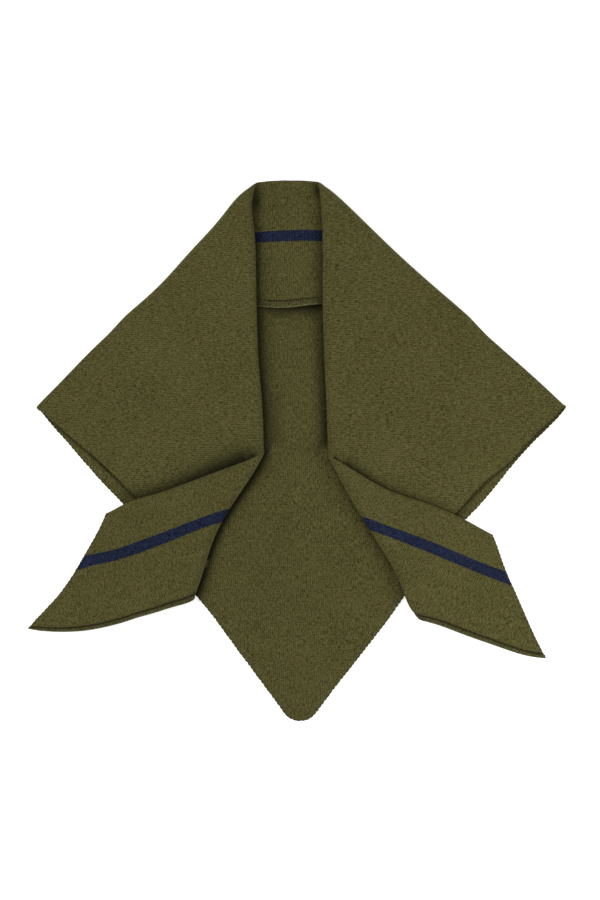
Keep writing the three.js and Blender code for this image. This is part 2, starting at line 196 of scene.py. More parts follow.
def wing_lay(side, neck, front, shoulder, front_swing, tail, tail_swing, lift, tip_rise):
    """One wing's fold lines. neck and front are shares, and the angles are in degrees."""
    neck_x = neck * NECK_HALF_WIDTH
    fold_angle = 2 * shoulder + front_swing
    mirror = neck_x + FOLD_LENGTH / sine(shoulder)
    length = front * FRONT_LENGTH
    return SimpleNamespace(
        side=side, neck=neck_x, shoulder=shoulder, front_swing=front_swing, tail=tail,
        tail_swing=tail_swing, lift=lift, tip_rise=tip_rise, fold_angle=fold_angle,
        tail_from=mirror + length, nub_x=mirror + length * cosine(fold_angle),
        nub_y=-length * sine(fold_angle))


LEFT = wing_lay(side=-1, neck=1.08, front=0.995, shoulder=45.6, front_swing=0, tail=27.5,
                tail_swing=16, lift=0.156, tip_rise=0.146)
RIGHT = wing_lay(side=1, neck=0.92, front=1.005, shoulder=42.6, front_swing=3, tail=28.2,
                 tail_swing=6.5, lift=0.215, tip_rise=0.154)


def side_at(inward):
    """Half the width of the flat cloth at a distance inward from the long edge."""
    share = (DEPTH - inward) / DEPTH
    return HALF_EDGE * ((1 - SIDE_BOW) * share + SIDE_BOW * share * share)


def fold_over(p, line, normal, centre, radius, where=True):
    """Turns what lies beyond a line half round, over to the near side. Gives the share of the
    turn that each point has made and how far it lies past the fold."""
    beyond = (p[0] - line[0]) * normal[0] + (p[1] - line[1]) * normal[1]
    beyond = np.where(where, np.maximum(beyond, 0), 0)
    turn = np.minimum(beyond / radius, math.pi)
    past = np.maximum(beyond - math.pi * radius, 0)
    arm = centre - p[2]
    moved = arm * np.sin(turn) - past - beyond
    p[0] += normal[0] * moved
    p[1] += normal[1] * moved
    p[2] = centre - arm * np.cos(turn)
    return turn / math.pi, past


def swing(p, centre, degrees):
    angle = np.radians(degrees)
    dx, dy = p[0] - centre[0], p[1] - centre[1]
    p[0] = centre[0] + np.cos(angle) * dx - np.sin(angle) * dy
    p[1] = centre[1] + np.sin(angle) * dx + np.cos(angle) * dy


def below_fold(inward):
    """How far below the collar fold a point lies once that fold is made."""
    reach = TURN_IN - inward
    in_fold = -FOLD_RADIUS * np.sin(np.clip(reach / FOLD_RADIUS, 0, math.pi))
    return np.where(reach <= 0, -reach, np.where(reach < FOLD_LENGTH, in_fold, reach - FOLD_LENGTH))


def band_inside(inward):
    """1 where the band lies inside the shoulder fold, 0 past its edge."""
    return 1 - smooth(BAND_STEP, BAND_STEP_END, inward - TURN_IN)


def lay_on_wing(wing, along, inward, height):
    """One wing's points as x, y and z, with the share of each of the GAPS below them."""
    p = [along, TURN_IN - inward, height]
    band, _ = fold_over(p, (0, 0), (0, 1), ONE_LAYER, FOLD_RADIUS)

    inside = band_inside(inward)
    normal = (sine(wing.shoulder), cosine(wing.shoulder))
    front, _ = fold_over(p, (wing.neck, 0), normal, ONE_LAYER + inside * PITCH,
                         FOLD_RADIUS * (1 + inside))
    on_front = front >= 1
    turned = -np.degrees(np.arctan2(p[1], p[0] - wing.neck))
    share = np.clip((turned / wing.shoulder - 1) / SWING_WITHIN, 0, 1)
    swing(p, (wing.neck, 0), -wing.front_swing * share * on_front)
    p[2] = p[2] - front * inside * PITCH * smooth(TURN_IN, -wing.nub_y, -p[1])

    nub = (wing.nub_x, wing.nub_y)
    bearing = np.degrees(np.arctan2(p[1] - nub[1], p[0] - nub[0])) + wing.fold_angle
    bearing = np.where(bearing < -90, bearing + 360, bearing)
    whole_to = wing.tail + wing.tail_swing
    swung = smooth(whole_to, whole_to + wing.tail + SWING_SLACK, bearing) - 1
    swing(p, nub, wing.tail_swing * swung * on_front)
    line = wing.tail - wing.fold_angle
    tail, past = fold_over(p, nub, (sine(line), -cosine(line)),
                           LAYERS_UNDER_TAIL * PITCH - LAYER_GAP / 2, PITCH, on_front)

    free = smooth(0, FOLD_HOLD, past)
    over = p[0] - side_at(TURN_IN - p[1])
    fallen = smooth(-EDGE_STEP * EDGE_AHEAD, EDGE_STEP * (1 - EDGE_AHEAD), over)
    p[2] = p[2] - free * LAYERS_UNDER_TAIL * PITCH * fallen
    bare = along - side_at(TURN_IN + below_fold(inward))
    drop = free * PITCH * smooth(BARE_STEP * BARE_DELAY, BARE_STEP * (1 + BARE_DELAY), bare)
    p[2] = p[2] - np.where(inward < TURN_IN, drop, 0)

    p[0] = p[0] * wing.side - BACK_SKEW * np.minimum(p[1], 0) * (1 - front)
    shares = {"all": 1, "back": 1 - front, "front": front * (1 - tail), "tail": tail}
    gaps = (mix(front, 1, band), mix((1 - band) * front, 1, tail), tail, band * tail)
    return np.array([*pulled(p, shares), *gaps])


def pulled(p, shares):
    x, y = p[:2]
    for pull in PULLS:
        away = (x - pull.across * HALF_EDGE) ** 2 + (y + pull.down * DEPTH) ** 2
        weight = shares[pull.layer] * np.exp(-away / (pull.reach * DEPTH) ** 2)
        p[0] = p[0] + weight * pull.move_across * HALF_EDGE
        p[1] = p[1] - weight * pull.move_down * DEPTH
    return p


def lay(along, inward, height):
    """Folds points of the flat cloth, in millimetres from the middle of the collar fold."""
    along, inward, height = (np.array(v, float) for v in np.broadcast_arrays(along, inward, height))
    wings = [lay_on_wing(wing, np.abs(along), inward, height) for wing in (LEFT, RIGHT)]
    return np.where(along < 0, *wings)


def rolled_at(along):
    """0 where the hem lies flat at the collar, 1 where it is rolled under on the tails."""
    return smooth(*ROLLED_FROM, np.abs(along) / HALF_EDGE)


def hem_share(along):
    """The hem's width as a share of its width at the collar."""
    return 1 - HEM_ROLLED * rolled_at(along)


def row_inward(wing, along, row_at):
    """How far inward a knitted row lies that starts row_at from the middle of the long edge."""
    share = along / HALF_EDGE
    held = np.clip((TURN_IN - row_at) / (TURN_IN - STRIPE_END), 0, 1)
    hemward = max(0, 1 - row_at / STRIPE_FROM_EDGE)
    tip = np.maximum(0, (share - TIP_START) / TIP_SPAN)
    rolled = np.interp(row_at, (0, HEM_WIDTH, STRIPE_FROM_EDGE), (0, HEM_WIDTH, 0))
    rolled = rolled * (1 - hem_share(along))
    lifted = TURN_IN * (wing.lift * share * held + wing.tip_rise * tip * tip * hemward)
    return row_at + lifted - rolled


# The columns of a wing from the middle of the scarf to its side, in zones between six lines
# of the flat cloth: middle, shoulder, front, tail fold, tail and side. They lie closest in the
# folds, and the last zone ends in a rounded rim.
ZONE_COLUMNS = (56, 9, 36, 12, 36)
CORNER_SHARE = 0.3  # of the middle zone's columns, at the rounded back corner
ROW_ROUNDS = 24  # in which a row and its columns settle on each other
HALVINGS = 40  # in the search for a column's end
RIM = 1.0
RIM_MOST = 0.1  # of a short row's or column's length
RIM_STEPS = (0, 0.35, 0.7, 1)  # over the rim, from inside to the very edge
RIM_FULLNESS = (1, 0.94, 0.72, 0.36)  # of the cloth's thickness at these steps


def wing_columns():
    zone = np.concatenate([np.full(n, i) for i, n in enumerate(ZONE_COLUMNS)])
    share = np.concatenate([np.arange(n) / n for n in ZONE_COLUMNS])
    last = len(ZONE_COLUMNS) - 1
    rim = np.array(RIM_STEPS, float)
    zone = np.append(zone, np.full(len(rim), last))
    share = np.append(share, np.ones(len(rim)))
    return SimpleNamespace(zone=zone, share=share, rim=np.append(np.zeros(zone.size - rim.size), rim),
                           fullness=np.append(np.ones(zone.size - rim.size), RIM_FULLNESS))


COLUMNS = wing_columns()


def column_at(wing, inward):
    """How far along each column of a wing lies, at a distance inward for each."""
    below = below_fold(inward)
    shoulder = wing.neck + below * cot(wing.shoulder)
    front = shoulder + FOLD_LENGTH * (1 + band_inside(inward)) / sine(wing.shoulder)
    tail_fold = wing.tail_from + below * cot(wing.tail + wing.tail_swing)
    tail = tail_fold + 2 * FOLD_LENGTH / sine(wing.tail + wing.tail_swing)
    lines = np.array([0 * shoulder, shoulder, front, tail_fold, tail, side_at(inward)])
    which = np.arange(inward.size)
    start, end = lines[COLUMNS.zone, which], lines[COLUMNS.zone + 1, which]
    last = COLUMNS.zone == len(ZONE_COLUMNS) - 1
    rim = np.where(last, np.clip(RIM_MOST * (end - start), 0, RIM), 0)
    return mix(start, end - rim, COLUMNS.share) + rim * COLUMNS.rim


def both_wings(half):
    """Joins what half(wing) gives for each wing into one row from the left tip to the right."""
    left, right = half(LEFT), half(RIGHT)
    return [np.concatenate([a[:0:-1], b]) for a, b in zip(left, right)]


def band_row(row_at):
    def half(wing):
        along = np.zeros(COLUMNS.zone.size)
        for _ in range(ROW_ROUNDS):
            inward = row_inward(wing, along, row_at)
            along = column_at(wing, inward)
        return along * wing.side, inward
    return both_wings(half)


def column_ends(wing):
    """How far below the collar fold each column meets the side of the cloth, by halving."""
    ends = COLUMNS.zone < len(ZONE_COLUMNS) - 1
    near, far = np.zeros(COLUMNS.zone.size), np.full(COLUMNS.zone.size, DEPTH - TURN_IN)
    for _ in range(HALVINGS):
        below = (near + far) / 2
        inside = column_at(wing, TURN_IN + below) < side_at(TURN_IN + below)
        near, far = np.where(inside, below, near), np.where(inside, far, below)
    return np.where(ends, near, near[ends.argmin()])


def back_outline(share, shoulder_end):
    """The back's outline from the middle of its rounded corner up to the shoulder fold."""
    angle = np.minimum(share / CORNER_SHARE, 1) * (math.pi / 2 - CORNER_ANGLE)
    rest = (share - CORNER_SHARE) / (1 - CORNER_SHARE)
    tangent = CORNER_CENTRE + BACK_CORNER_RADIUS * math.sin(CORNER_ANGLE)
    inward = mix(tangent, TURN_IN + shoulder_end, rest)
    in_corner = share <= CORNER_SHARE
    along = np.where(in_corner, BACK_CORNER_RADIUS * np.sin(angle), side_at(inward))
    rounded = CORNER_CENTRE + BACK_CORNER_RADIUS * np.cos(angle)
    return along, np.where(in_corner, rounded, inward) - TURN_IN


# The rows below the collar fold: to the band's step, across it and on to the side. Each part
# is a share of the way, and in a short column a share of its length at most.
BODY_PARTS = (("band", 34, 0, 0.78), ("step", 12, 0.78, 0.12), ("rest", 38, 0.9, 0.1))


def body_rows():
    wings = {wing.side: SimpleNamespace(ends=column_ends(wing)) for wing in (LEFT, RIGHT)}
    middle = COLUMNS.zone == 0
    for wing in (LEFT, RIGHT):
        made = wings[wing.side]
        shoulder_end = made.ends[middle.argmin()]
        made.along, below = back_outline(COLUMNS.share, shoulder_end)
        made.ends = np.where(middle, below, made.ends)

    def row(part, share, most, rim):
        def half(wing):
            made = wings[wing.side]
            edge = np.minimum(RIM, RIM_MOST * made.ends)
            end = made.ends - edge
            planned = {"band": BAND_STEP * share, "step": mix(BAND_STEP, BAND_STEP_END, share),
                       "rest": mix(BAND_STEP_END, end, share)}[part]
            below = np.minimum(planned, most * end) + edge * rim
            top = COLUMNS.share * wing.neck
            fan = mix(top, made.along, below / made.ends)
            along = np.where(middle, fan, column_at(wing, TURN_IN + below))
            return along * wing.side, TURN_IN + below
        return both_wings(half)

    rows, fullness = [], []
    for part, count, start, span in BODY_PARTS:
        for i in range(1, count + 1):
            rows.append(row(part, i / count, start + span * i / count, 0))
            fullness.append(1)
    for step, full in list(zip(RIM_STEPS, RIM_FULLNESS))[1:]:
        rows.append(row("rest", 1, 1, step))
        fullness.append(full)
    return rows, fullness


# Softness that the solids leave out. The folds aren't pressed flat, so each gap between two
# layers opens towards its fold, and everything above it rises with it. Apart from the gaps, the
# cloth lies in low swells. Both depend on the place in the plan alone: no layer meets another.
GAPS = ("collar", "front", "tail", "tail_band")  # the layer above each gap, from the ground up
Ridge = namedtuple("Ridge", "start end round reach rest")  # millimetres, rest is a share
INNER = {-1: Ridge(8.2, 3.4, 3.2, 60, 0.18), 1: Ridge(6.5, 3.2, 2.6, 60, 0.2)}
UPPER = {-1: Ridge(3.4, 2.6, 3.5, 40, 0.1), 1: Ridge(2.4, 1.8, 3, 40, 0.1)}
LOWER = {-1: Ridge(2.0, 5.0, 2.4, 45, 0.1), 1: Ridge(1.6, 1.8, 3, 45, 0.2)}
HEM = Ridge(0.8, 3.6, 0.6, 45, 0)
Swell = namedtuple("Swell", "wave heading phase height")
SWELLS = (
    Swell(190, 20, 0.4, 0.3),
    Swell(131, 95, 2.1, 0.25),
    Swell(88, 152, 4.0, 0.18),
    Swell(57, 61, 1.2, 0.08),
)
COLLAR_BULGE = 4.0
Pucker = namedtuple("Pucker", "across down wide long height")  # millimetres from the neck
PUCKERS = (
    Pucker(-7, 22, 4, 28, 4.0),
    Pucker(-17, 28, 5, 26, -2.2),
    Pucker(20, 22, 4, 14, -1.6),
    Pucker(-33, 42, 4, 20, -1.2),
)
GROOVE_DEPTH = {-1: 4.2, 1: 2.6}  # of the dip in a front along the tail that lies on it
GROOVE_WIDTH = 15
GROOVE_FADE = (30, 110)  # above the tail, in millimetres
HEM_FADE = 22  # how far below the hem the fronts come down again
BULGE_FADE = (0.8, 1)  # shares of the way down the inner folds

# The lines that the gaps open from: how many points each has, and what it covers
INNER_POINTS = 24
UPPER_POINTS = 16
LOWER_POINTS = 20
LOWER_REACH = 170  # below the collar fold, in millimetres
HEM_POINTS = 12
HEM_SHOWN = 0.96  # of the way from the middle to the neck
HEM_CREST = 0.3  # of the hem's width


def line_of(wing, along, inward):
    """A line of the flat cloth as it lies, from the nub or the neck outwards."""
    return lay(wing.side * along, inward, MID_LAYER)[:2].T


def fold_lines(wing):
    """The crests of a wing's inner fold and of its tail's upper and lower folded edges."""
    turn = TURN_IN - FOLD_LENGTH / 2
    start = wing.neck + 2 * FOLD_LENGTH / sine(wing.shoulder)
    inner = line_of(wing, np.linspace(start, wing.tail_from - 1, INNER_POINTS), turn)
    inner = np.vstack([2 * inner[0] - inner[1], inner])
    beyond = wing.tail_from + 3 * FOLD_LENGTH / sine(wing.tail)
    upper = line_of(wing, np.linspace(beyond, side_at(turn), UPPER_POINTS), turn)
    below = np.linspace(0, LOWER_REACH, LOWER_POINTS)
    along = wing.tail_from + below * cot(wing.tail + wing.tail_swing)
    lower = line_of(wing, along + FOLD_LENGTH / sine(wing.tail + wing.tail_swing), TURN_IN + below)
    return inner, upper, lower


def hem_line():
    """The edge of the turned-in band from the left inner fold to the right one."""
    along = np.linspace(-HEM_SHOWN * LEFT.neck, HEM_SHOWN * RIGHT.neck, HEM_POINTS)
    return lay(along, HEM_CREST * HEM_WIDTH, MID_LAYER)[:2].T


def from_line(x, y, line):
    """Distance to a line of points, above 0 on its left, and the share of the way along it."""
    nearest = np.full(x.shape, np.inf)
    signed, share = np.zeros(x.shape), np.zeros(x.shape)
    last = len(line) - 1
    for i in range(last):
        (ax, ay), (dx, dy) = line[i], line[i + 1] - line[i]
        gone = np.clip(((x - ax) * dx + (y - ay) * dy) / (dx * dx + dy * dy), 0, 1)
        away = np.hypot(x - ax - gone * dx, y - ay - gone * dy)
        side = np.sign(dx * (y - ay) - dy * (x - ax))
        near = away < nearest
        nearest = np.where(near, away, nearest)
        signed = np.where(near, side * away, signed)
        share = np.where(near, (i + gone) / last, share)
    return signed, share


def ridge_height(ridge, inside, share):
    """How far a gap is open at a distance inside its fold: round at the fold, then easing off."""
    height = mix(ridge.start, ridge.end, share)
    turned = np.clip(1 - inside / ridge.round, 0, 1)
    eased = smooth(ridge.round, ridge.reach, inside)
    return np.where(inside > 0, height * np.sqrt(1 - turned ** 2) * mix(1, ridge.rest, eased), 0)


def gap_heights(x, y):
    """The height that each gap is open at a place, and the lift of the dips and bulges."""
    heights = {gap: np.zeros(x.shape) for gap in GAPS}
    lifted = np.zeros(x.shape)
    for swell in SWELLS:
        across = x * cosine(swell.heading) + y * sine(swell.heading)
        lifted += swell.height * (1 + np.sin(2 * math.pi * across / swell.wave + swell.phase))
    for pucker in PUCKERS:
        away = ((x - pucker.across) / pucker.wide) ** 2 + ((y + pucker.down) / pucker.long) ** 2
        lifted += pucker.height * np.exp(-away)
    valley = []
    for wing in (LEFT, RIGHT):
        side = wing.side
        inner, upper, lower = (from_line(x, y, line) for line in FOLD_LINES[side])
        heights["front"] += ridge_height(INNER[side], side * inner[0], inner[1])
        heights["tail_band"] += ridge_height(UPPER[side], -side * upper[0], upper[1])
        heights["tail"] += ridge_height(LOWER[side], side * lower[0], lower[1])
        above = side * upper[0]
        dip = smooth(0, GROOVE_WIDTH, above) * (1 - smooth(*GROOVE_FADE, above))
        lifted += GROOVE_DEPTH[side] * dip * smooth(0, GROOVE_WIDTH, side * inner[0])
        valley.append(np.maximum(-side * inner[0], 0) * (1 - smooth(*BULGE_FADE, inner[1])))
    above, share = from_line(x, y, HEM_LINE)
    fading = 1 - smooth(0, HEM_FADE, -above)
    heights["collar"] = ridge_height(HEM, np.maximum(above, HEM.round), share) * fading
    hump = 4 * valley[0] * valley[1] / np.maximum(valley[0] + valley[1], 1) ** 2
    return heights, lifted + COLLAR_BULGE * (1 - (1 - hump) ** 2)


def softened(p):
    x, y, z, *below = p
    heights, lifted = gap_heights(x, y)
    raised = sum(share * heights[gap] for gap, share in zip(GAPS, below))
    return np.array([x, y, z + raised + lifted])


FOLD_LINES = {wing.side: fold_lines(wing) for wing in (LEFT, RIGHT)}
HEM_LINE = hem_line()

# Painted shade: where the cloth disappears under a fold or an edge, its colour is darkened as if shaded
# there.
# width is in millimetres. start and end are for the two ends of the line: 0 is darkest.
Crease = namedtuple("Crease", "width start end")
UNDER_INNER = {-1: Crease(22, 0.9, 0.36), 1: Crease(15, 1.2, 0.3)}
UNDER_UPPER = {-1: Crease(16, 0.1, 0.75), 1: Crease(7.5, 0.1, 1.0)}
UNDER_LOWER = {-1: Crease(6, -0.6, -0.6), 1: Crease(6, 0.3, 0.1)}
UNDER_HEM = Crease(12, 0.35, 0.0)
UNDER_SIDE = Crease(3.2, 0.2, 0.2)
HEM_GROOVE_SHADE = Crease(1.5, 0.45, 0.15)  # painted shade in the groove between the hem's roll and the knit beside it, from collar to tail
ShadedDimple = namedtuple("ShadedDimple", "across down wide long start")  # as a pucker's and a painted shade band's
SHADED_DIMPLES = (ShadedDimple(-35, 22, 8, 22, 0.35), ShadedDimple(27, 10, 6, 9, 0.3))  # painted shade in dimples at the collar's shoulders
BACK_DARKER = 1.7  # the back, where it shows below the fronts, is a little darker throughout
NO_PAINTED_SHADE = 4
SIDE_POINTS = 400
SIDE_EVERY = 8  # one point in so many is kept
WHOLLY = 0.99  # share from which a point counts as on a layer


def side_line(wing):
    """A front's side edge from the shoulder fold down to the tail fold, over the back."""
    inward = TURN_IN + np.linspace(0, DEPTH - TURN_IN, SIDE_POINTS)
    x, y, _, _, on_front, on_tail, _ = lay(wing.side * side_at(inward), inward, MID_LAYER)
    shown = (on_front > WHOLLY) & (on_tail < 1 - WHOLLY)
    return np.stack([x, y], 1)[shown][::-SIDE_EVERY]


SIDE_LINES = {wing.side: side_line(wing) for wing in (LEFT, RIGHT)}


def painted_shade_widths(along, inward):
    """For each point, how many widths it lies from the painted shade beside a fold or edge (fewer is
    darker), and 1 where nothing covers it.
    """
    x, y, _, on_collar, on_front, on_tail, _ = lay(along, inward, MID_LAYER)
    low, front = on_front < 0.5, (on_front >= 0.5) & (on_tail < 0.5)
    near, bare = np.full(x.shape, float(NO_PAINTED_SHADE)), np.ones(x.shape)
    near[low & (on_collar < 0.5)] = BACK_DARKER

    def add(crease, line, outside, on):
        signed, along_line = from_line(x, y, line)
        depth = outside * signed
        start = mix(crease.start, crease.end, along_line)
        at = np.where(on, start + np.maximum(depth, 0) / crease.width, NO_PAINTED_SHADE)
        np.minimum(near, at, out=near)
        bare[on & (depth < 0)] = 0

    for wing in (LEFT, RIGHT):
        side, here = wing.side, low & (x * wing.side > 0)
        inner, upper, lower = FOLD_LINES[side]
        folds = np.concatenate([inner, lower])
        inside, _ = from_line(x, y, folds)
        beyond, _ = from_line(x, y, SIDE_LINES[side])
        shown = here & (side * inside > 0) & (side * beyond > 0)
        near[shown] = NO_PAINTED_SHADE
        beside_tail = y < inner[-1][1]
        add(UNDER_INNER[side], inner, -side, here & ~shown & ~beside_tail)
        add(UNDER_LOWER[side], lower, -side, here & ~shown & beside_tail)
        add(UNDER_SIDE, SIDE_LINES[side], side, shown)
        add(UNDER_UPPER[side], upper, side, front & (x * side > 0))
    add(UNDER_HEM, HEM_LINE, -1, on_collar < 0.5)
    for shaded_dimple in SHADED_DIMPLES:
        away = np.hypot((x - shaded_dimple.across) / shaded_dimple.wide, (y + shaded_dimple.down) / shaded_dimple.long)
        near = np.where(low, np.minimum(near, shaded_dimple.start + away), near)
    return near, bare


# The solids' own frame: the left tip is their lowest x and the back corner their lowest y
TIP_ALONG, TIP_INWARD = (values[0] for values in band_row(0))
OFFSET = np.array([
    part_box("long_edge_hem")[0].x / MM - lay(TIP_ALONG, TIP_INWARD, 0)[0],
    cad_low.y / MM - lay(0, CORNER_CENTRE + BACK_CORNER_RADIUS, 0)[1],
    0,
])


def placed(along, inward, height):
    """Points of the flat cloth where they lie in the solids' frame, in metres."""
    p = softened(lay(along, inward, height))
    return (p + OFFSET.reshape([3] + [1] * (p.ndim - 1))) * MM


# Meshes
SAME_PLACE = 0.001 * MM


def set_numbers(mesh, label, numbers):
    attribute = mesh.attributes.new(label, "FLOAT", "POINT")
    attribute.data.foreach_set("value", numbers.astype(np.float32))


def mesh_object(name, vertices, faces, knit=None, values=None):
    """A smooth mesh. knit holds each vertex's place in the knitting, in metres, and values its
    named numbers."""
    mesh = bpy.data.meshes.new(name)
    mesh.from_pydata(vertices.tolist(), [], faces)
    if knit is not None:
        corners = np.empty(len(mesh.loops), np.int32)
        mesh.loops.foreach_get("vertex_index", corners)
        layer = mesh.uv_layers.new(name="knit")
        layer.data.foreach_set("uv", knit[corners].astype(np.float32).ravel())
    for label, numbers in (values or {}).items():
        set_numbers(mesh, label, numbers)
    work = bmesh.new()
    work.from_mesh(mesh)
    bmesh.ops.remove_doubles(work, verts=work.verts, dist=SAME_PLACE)
    for face in work.faces:
        face.smooth = True
    work.to_mesh(mesh)
    work.free()
    piece = bpy.data.objects.new(name, mesh)
    bpy.context.scene.collection.objects.link(piece)
    return piece


def cloth_shell(name, rows, fullness, row_at, finish):
    """A closed shell of cloth over rows of (along, inward) points. fullness is each row's
    share of the cloth's thickness, and row_at its place in the knitting."""
    along, inward = (np.array([row[i] for row in rows]) for i in (0, 1))
    sides = np.concatenate([COLUMNS.fullness[:0:-1], COLUMNS.fullness])
    half = MID_LAYER * np.multiply.outer(fullness, sides)
    under = placed(along, inward, MID_LAYER - half)
    top = placed(along, inward, MID_LAYER + half)
    n, m = along.shape
    knit = np.stack([along, np.broadcast_to(np.reshape(row_at, (n, -1)), (n, m))], -1) * MM
    lower = np.arange(n * m).reshape(n, m)
    upper = lower + n * m

    def strip(*corners):
        return np.stack([c.ravel() for c in corners], 1)

    faces = np.concatenate([
        strip(upper[1:, :-1], upper[1:, 1:], upper[:-1, 1:], upper[:-1, :-1]),
        strip(lower[:-1, :-1], lower[:-1, 1:], lower[1:, 1:], lower[1:, :-1]),
        strip(lower[:-1, 0], lower[1:, 0], upper[1:, 0], upper[:-1, 0]),
        strip(upper[:-1, -1], upper[1:, -1], lower[1:, -1], lower[:-1, -1]),
        strip(upper[0, 1:], lower[0, 1:], lower[0, :-1], upper[0, :-1]),
        strip(lower[-1, :-1], lower[-1, 1:], upper[-1, 1:], upper[-1, :-1]),
    ])
    vertices = np.concatenate([under.reshape(3, -1).T, top.reshape(3, -1).T])
    near, bare = painted_shade_widths(along, inward)
    # The groove beside the hem gets painted shade too
    groove_shade = np.abs(np.reshape(row_at, (n, -1)) - HEM_WIDTH) / HEM_GROOVE_SHADE.width
    groove_shade = groove_shade + mix(HEM_GROOVE_SHADE.start, HEM_GROOVE_SHADE.end, rolled_at(along))
    near, bare = (np.tile(numbers.ravel(), 2) for numbers in (np.minimum(near, groove_shade), bare))
    piece = mesh_object(name, vertices, faces.tolist(), np.tile(knit.reshape(-1, 2), (2, 1)),
                        {"crease": near, "bare": bare})
    piece.data.materials.append(finish)
    return piece


# Node trees
class Nodes:
    """Adds nodes to a tree. A value given for a socket is either linked or set on it."""

    def __init__(self, tree):
        self.tree = tree

    def add(self, kind, inputs=None, **settings):
        node = self.tree.nodes.new(kind)
        for key, value in settings.items():
            setattr(node, key, value)
        for key, value in (inputs or {}).items():
            if isinstance(value, bpy.types.NodeSocket):
                self.tree.links.new(value, node.inputs[key])
            else:
                node.inputs[key].default_value = value
        return node

    def math(self, operation, *values, clamp=False):
        node = self.add("ShaderNodeMath", dict(enumerate(values)), operation=operation, use_clamp=clamp)
        return node.outputs[0]


Yarn = namedtuple("Yarn", "dark light fleck deep")  # deep is the colour painted as shade beside a fold or edge
OLIVE_PAINTED_SHADE_COLOUR = (0.0045, 0.0036, 0.0009, 1)
OLIVE = Yarn((0.0275, 0.0215, 0.0018, 1), (0.12, 0.109, 0.04, 1), (0.066, 0.074, 0.019, 1),
             OLIVE_PAINTED_SHADE_COLOUR)
OLIVE_HEM = Yarn((0.017, 0.0135, 0.0016, 1), (0.118, 0.107, 0.042, 1), (0.06, 0.068, 0.02, 1),
                 OLIVE_PAINTED_SHADE_COLOUR)
# Painted highlight: the hem's very edge in a lighter yarn, where it catches the light
OLIVE_EDGE_HIGHLIGHT = Yarn((0.055, 0.048, 0.015, 1), (0.21, 0.19, 0.086, 1), (0.14, 0.14, 0.055, 1),
                  OLIVE_PAINTED_SHADE_COLOUR)
NAVY = Yarn((0.0006, 0.0012, 0.005, 1), (0.0215, 0.028, 0.067, 1), (0.008, 0.015, 0.037, 1),
            (0.001, 0.0014, 0.004, 1))

# The knit's repeats and how wide the patches of its nap are
WALE = 2.04 * MM
COURSE = 1.5 * MM
WANDER = 0.8 * MM  # how far brushing has shifted the wales
WANDER_PATCH = 7 * MM
WORN_PATCH = 34 * MM  # where the nap hides the wales
STREAK = 1.4 * MM
STREAK_STRETCH = (1, 0.3, 1)
HAIR = 1.5 * MM
FINE_HAIR = 0.9 * MM
FLECK = 2.1 * MM
CLOUDS = ((0.15, 12 * MM), (0.3, 60 * MM))  # slow changes of shade: how much, how wide
MIDDLE_SHADE = 0.46
RELIEF_HEIGHT = 0.5 * MM


def noise(nodes, place, size, detail=2):
    """A noise of about 0 whose patches are size metres across."""
    made = nodes.add("ShaderNodeTexNoise", {"Vector": place, "Scale": 1 / size, "Detail": detail,
                                            "Roughness": 0.6})
    return nodes.math("SUBTRACT", made.outputs["Fac"], 0.5)


def total(nodes, *terms):
    """The sum of (amount, value) pairs."""
    made = nodes.math("MULTIPLY", terms[0][1], terms[0][0])
    for amount, value in terms[1:]:
        made = nodes.math("MULTIPLY_ADD", value, amount, made)
    return made


